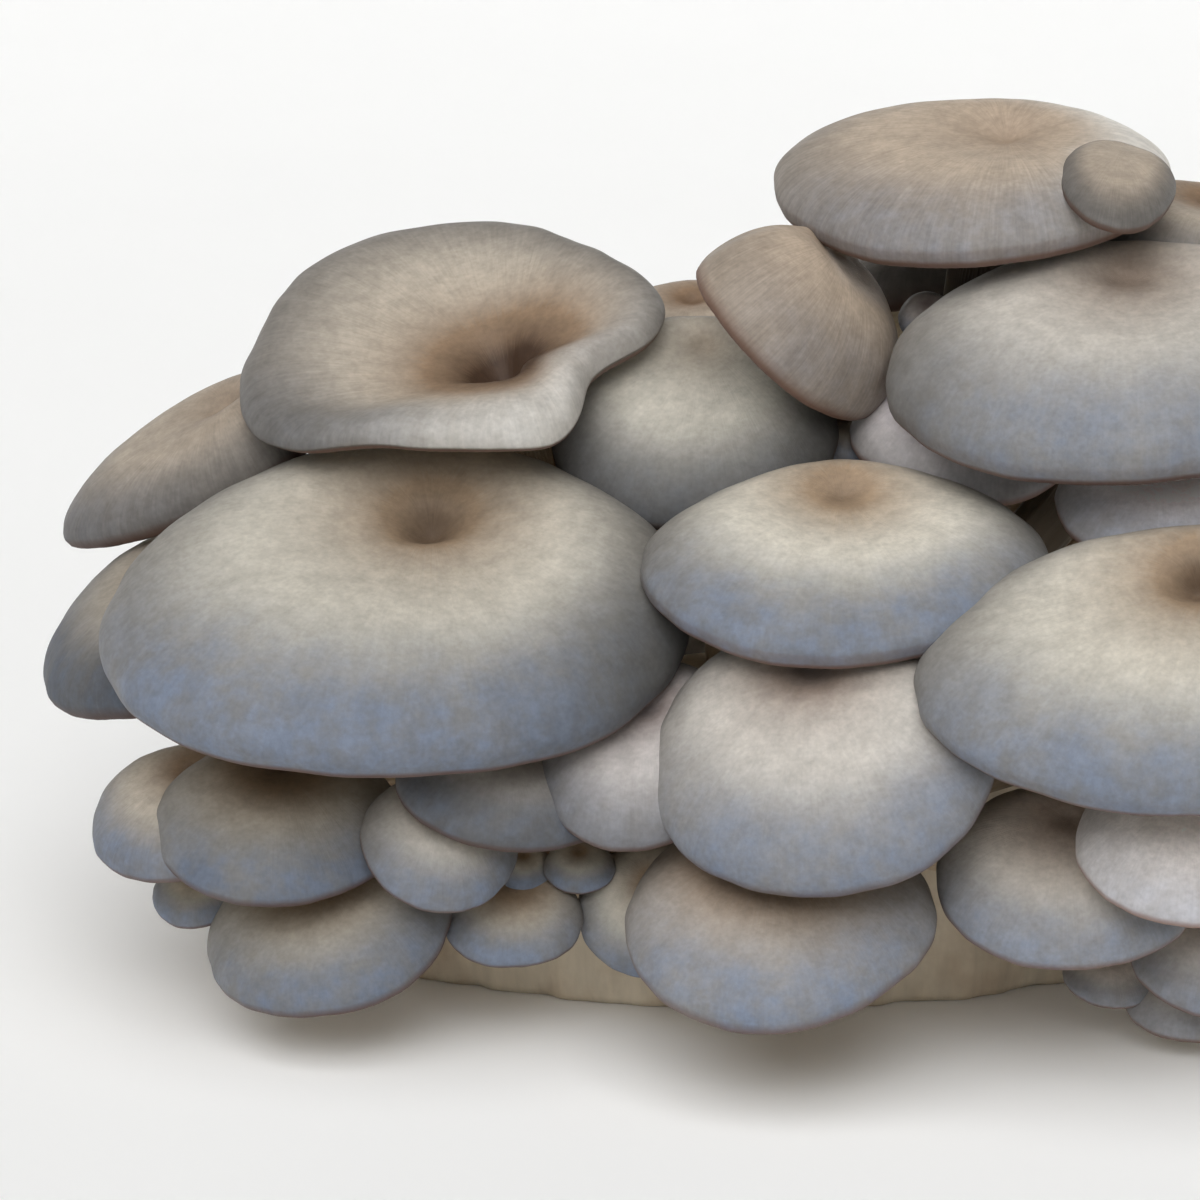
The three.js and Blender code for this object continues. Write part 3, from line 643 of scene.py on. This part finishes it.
# crown: painted light on its right and a small painted highlight beside the curled lobe, and painted
# shade on its gills and stem
CROWN = ("crown", (43.1, 23, 154), 80, 70.6, (0, 10, -3), 0.31, (0.19, 0.2),
         {"lobes": [(2, 0.03, 150), (3, 0.03, 140)], "pressed": [(42, 32, 0.07), (345, 16, 0.03)],
          "raised": [(338, 30, 0.1)], "tone": 1.13, "shade": 0.15, "brown": 0.3, "warm": 0.9,
          "grey": 0.85, "blue": 0.4, "painted_light": [(323, 5, 0.8), (15, 55, 1.0)]})
CROWN_GROWTHS = [
    ("curled_lobe", (70.3, 4.3, 159.1), 22.9, 39.8, (-7, 10, 7), 0.28, (0, 0.3),
     {"bowl": 0, "pit": 0, "lobes": [(1, 0.14, 270), (3, 0.05, 270)], "root": (60, 22, 158),
      "tone": 0.95, "brown": 0, "warm": 0.8, "blue": 0.1, "deep": 0.45}),
    ("stem_bud", (34, 14, 129), 12, 12, (0, 40, 0), 0.5, (0, 0.3),
     {"root": (52, 32, 121), "warm": 0.5, "lilac": 0.4}),
]
grow(CROWN, CROWN_GROWTHS)
for row in UPPER:
    grow(row)

# Low front mushrooms: young caps crowded under the large ones, small and tightly rolled, the smallest
# no more than buttons. They grew from the base's front edge and press against each other.
# Tones of the low caps are partly painted light where the large caps above shade them, and painted
# shade on those under the giant
LOW_FRONT = [
    # Browns spread wide up the tops of low caps are partly painted shade under the caps above
    ("left_under", (-94.4, -49, 42.9), 48.3, 42.3, (0, 26, 0), 0.38, (0, 0.5),
     {"tone": 0.78, "brown": 1.2, "brown_and_shade_width": 0.7, "grey": 0.8, "blue": 1.05}),
    ("left_floor", (-85, -52, 22), 50, 42, (0, 26, -13), 0.38, (0, 0.5),
     {"tone": 0.84, "brown": 1.2, "brown_and_shade_width": 0.7, "grey": 0.85}),
    # right_under: tone raised as painted light, for it lies in the shade of right_big
    ("right_under", (80, -76, 48.9), 43.6, 41.6, (0, 28, 0), 0.4, (0, 0.4),
     {"tone": 2.0, "brown": 0.4, "lilac": 0.5, "grey": 0.7, "blue": 0.35}),
    ("front_right", (57.1, -67, 38.3), 49.5, 42.6, (0, 32, 0), 0.38, (0, 0.5),
     {"tone": 1.28, "brown": 0.9, "brown_and_shade_width": 0.7, "lilac": 0.2, "blue": 0.8}),
    ("low_behind", (-23.5, -53.5, 59.1), 41.9, 45.8, (-15, 30, 0), 0.4, (0, 0.3),
     {"tone": 1.0, "lilac": 0.5, "blue": 0.4}),
    # left_fan: tone lowered and painted shade on its edge, for it lies in the giant's shadow
    ("left_fan", (-49.7, -56, 52.8), 43.4, 32.3, (0, 24, 8), 0.38, (0, 0.5),
     {"tone": 0.72, "lilac": 0.3, "deep": 0.3}),
    ("left_fan_b", (-63, -58, 42.4), 31, 30, (10, 40, 8), 0.38, (0, 0.5), {"lilac": 0.2}),
    ("left_under_b", (-114, -42, 43), 36, 36, (-30, 28, 0), 0.4, (0, 0.4), {"warm": 0.4}),
    ("front_middle_left", (-21.5, -50, 26.3), 30, 28.4, (-15, 55, 0), 0.4, (0, 0.3), {}),
    ("left_button", (-49, -52, 25), 27, 24, (0, 34, 0), 0.4, (0, 0.5),
     {"brown": 1.1, "brown_and_shade_width": 0.8}),
    ("right_low", (87, -62, 22), 34, 32, (0, 28, 0), 0.4, (0, 0.4),
     {"tone": 1.2, "lilac": 0.4, "blue": 0.6}),
    ("right_floor", (84, -56, 10), 28, 24, (0, 25, 0), 0.4, (0, 0.4),
     {"tone": 1.35, "lilac": 0.4, "blue": 0.4}),
    ("right_tiny", (68, -54, 14), 19, 17, (0, 28, 0), 0.4, (0, 0.4),
     {"tone": 1.3, "lilac": 0.4, "blue": 0.5}),
    ("left_tiny", (-111, -38, 25), 20, 18, (-20, 28, 0), 0.4, (0, 0.4), {}),
    ("button_b", (-47, -46, 33), 12, 11, (0, 30, 0), 0.5, (0, 0.3), {}),
    ("button_c", (-36, -48, 34), 14, 13, (0, 30, 0), 0.5, (0, 0.3), {}),
]
for row in LOW_FRONT:
    grow(row)

# Mushrooms of the back and the two ends: caps of middling size that face away from the front, in three
# tiers like the front ones, each on its own stem out of the base.
BACK_AND_ENDS = [
    ("back_upper_left", (-52, 58, 104), 74, 66, (168, 20, 0), 0.36, (0, 0.4), {"warm": 0.4}),
    ("back_upper_right", (48, 70, 118), 78, 68, (186, 22, 0), 0.36, (0, 0.4), {"warm": 0.4}),
    ("back_mid", (-3, 76, 72), 76, 66, (180, 30, 0), 0.36, (0, 0.4), {}),
    ("back_mid_left", (-92, 52, 66), 60, 54, (-145, 26, 0), 0.38, (0, 0.4), {}),
    ("back_mid_right", (78, 58, 73), 76, 60, (150, 26, 0), 0.38, (0, 0.4), {}),
    ("back_low_left", (-55, 64, 40), 54, 48, (-165, 28, 0), 0.4, (0, 0.4), {}),
    ("back_low_right", (56, 66, 42), 58, 50, (160, 28, 0), 0.4, (0, 0.4), {}),
    ("back_low", (2, 66, 36), 54, 46, (180, 30, 0), 0.4, (0, 0.4), {"lilac": 0.3}),
    ("right_end_mid", (122, 5, 62), 52, 46, (80, 25, 0), 0.38, (0, 0.4), {}),
    ("right_end_low", (112, -28, 30), 42, 38, (60, 28, 0), 0.4, (0, 0.4), {}),
    ("right_back_low", (105, 32, 38), 46, 40, (110, 25, 0), 0.4, (0, 0.4), {"lilac": 0.3}),
    ("left_end_low", (-104, 8, 36), 44, 40, (-95, 26, 0), 0.4, (0, 0.4), {"lilac": 0.2}),
]
for row in BACK_AND_ENDS:
    grow(row)

# Studio: a plain pale floor that curves up into a wall all round, one wide soft light from above and
# one from the front, both a little to the left, and a faint even glow from all sides.
FLOOR_RADIUS, WALL_CURVE, WALL_HEIGHT = 2.6, 0.8, 1.6
FLOOR_DROP = 0.2 * MM
FLOOR_COLUMNS, FLOOR_ROWS, BEND_ROWS = 96, 7, 17
FLOOR_PALE, FLOOR_ROUGHNESS = (250, 250, 249), 0.8
FLOOR_CLOUD_SCALE, FLOOR_CLOUDS = 3, (0.3, 0.7, 0.98, 1.0)
GLOW = 0.028
LIGHTS = [("sky_light", (-0.25, -0.6, 1.3), 2.2, 70), ("front_light", (-0.1, -1, 0.42), 2.0, 60)]


def floor_mesh():
    """A disc whose edge turns up through a quarter circle into an upright wall, as rings round its
    middle."""
    angle = np.arange(FLOOR_COLUMNS) * 2 * np.pi / FLOOR_COLUMNS
    bend = np.linspace(0, np.pi / 2, BEND_ROWS)
    flat = np.linspace(0, FLOOR_RADIUS, FLOOR_ROWS + 2)[1:-1]
    reach = np.concatenate([flat, FLOOR_RADIUS + WALL_CURVE * np.sin(bend)])
    level = np.concatenate([0 * flat, WALL_CURVE * (1 - np.cos(bend))])
    reach = np.append(reach, reach[-1])[:, None]
    level = np.append(level, WALL_HEIGHT)[:, None] - FLOOR_DROP
    rings = np.stack([reach * np.cos(angle), reach * np.sin(angle), level + 0 * angle], axis=-1)
    rows, columns = rings.shape[:2]
    here = np.arange(columns)
    start = columns * np.arange(rows - 1)[:, None]
    after = (here + 1) % columns
    outer = start + columns
    quads = np.stack([start + here, outer + here, outer + after, start + after], axis=-1)
    mesh = bpy.data.meshes.new("floor")
    mesh.from_pydata(rings.reshape(-1, 3).tolist(), [], [here.tolist(), *quads.reshape(-1, 4).tolist()])
    mesh.shade_smooth()
    return mesh


def floor_paper():
    """Matt near-white paper with a faint cloud in its tone."""
    material, tree, shader = new_material("floor_paper")
    place = tree.nodes.new("ShaderNodeTexCoord").outputs["Object"]
    tone = spread(tree, noise(tree, place, FLOOR_CLOUD_SCALE, 3), *FLOOR_CLOUDS)
    colour = blend_colour(tree, 1.0, linear(FLOOR_PALE), tone, "MULTIPLY")
    feed(tree, shader.inputs["Base Color"], colour)
    shader.inputs["Roughness"].default_value = FLOOR_ROUGHNESS
    return material


floor = bpy.data.objects.new("floor", floor_mesh())
floor.data.materials.append(floor_paper())
bpy.context.scene.collection.objects.link(floor)

for name, comes_from, strength, wide in LIGHTS:
    lamp = bpy.data.lights.new(name, "SUN")
    lamp.energy = strength
    lamp.angle = np.radians(wide)
    light = bpy.data.objects.new(name, lamp)
    light.rotation_euler = (-Vector(comes_from)).to_track_quat("-Z", "Y").to_euler()
    bpy.context.scene.collection.objects.link(light)

world = bpy.data.worlds.new("glow")
world.use_nodes = True
world.node_tree.nodes["Background"].inputs["Color"].default_value = (1, 1, 1, 1)
world.node_tree.nodes["Background"].inputs["Strength"].default_value = GLOW
bpy.context.scene.world = world
bpy.context.scene.view_settings.view_transform = "Standard"

# Camera: a long lens a metre away, a little above the caps, aimed left of the middle.
CAMERA_AIM = np.array([-32, -10, 77]) * MM
CAMERA_DISTANCE = 1.0
CAMERA_ELEVATION = np.radians(17)
CAMERA_LENS = 150

lens = bpy.data.cameras.new("camera")
lens.lens = CAMERA_LENS
camera = bpy.data.objects.new("camera", lens)
backward = np.array([0, -np.cos(CAMERA_ELEVATION), np.sin(CAMERA_ELEVATION)])
camera.location = CAMERA_AIM + CAMERA_DISTANCE * backward
camera.rotation_euler = (np.pi / 2 - CAMERA_ELEVATION, 0, 0)
bpy.context.scene.collection.objects.link(camera)
bpy.context.scene.camera = camera
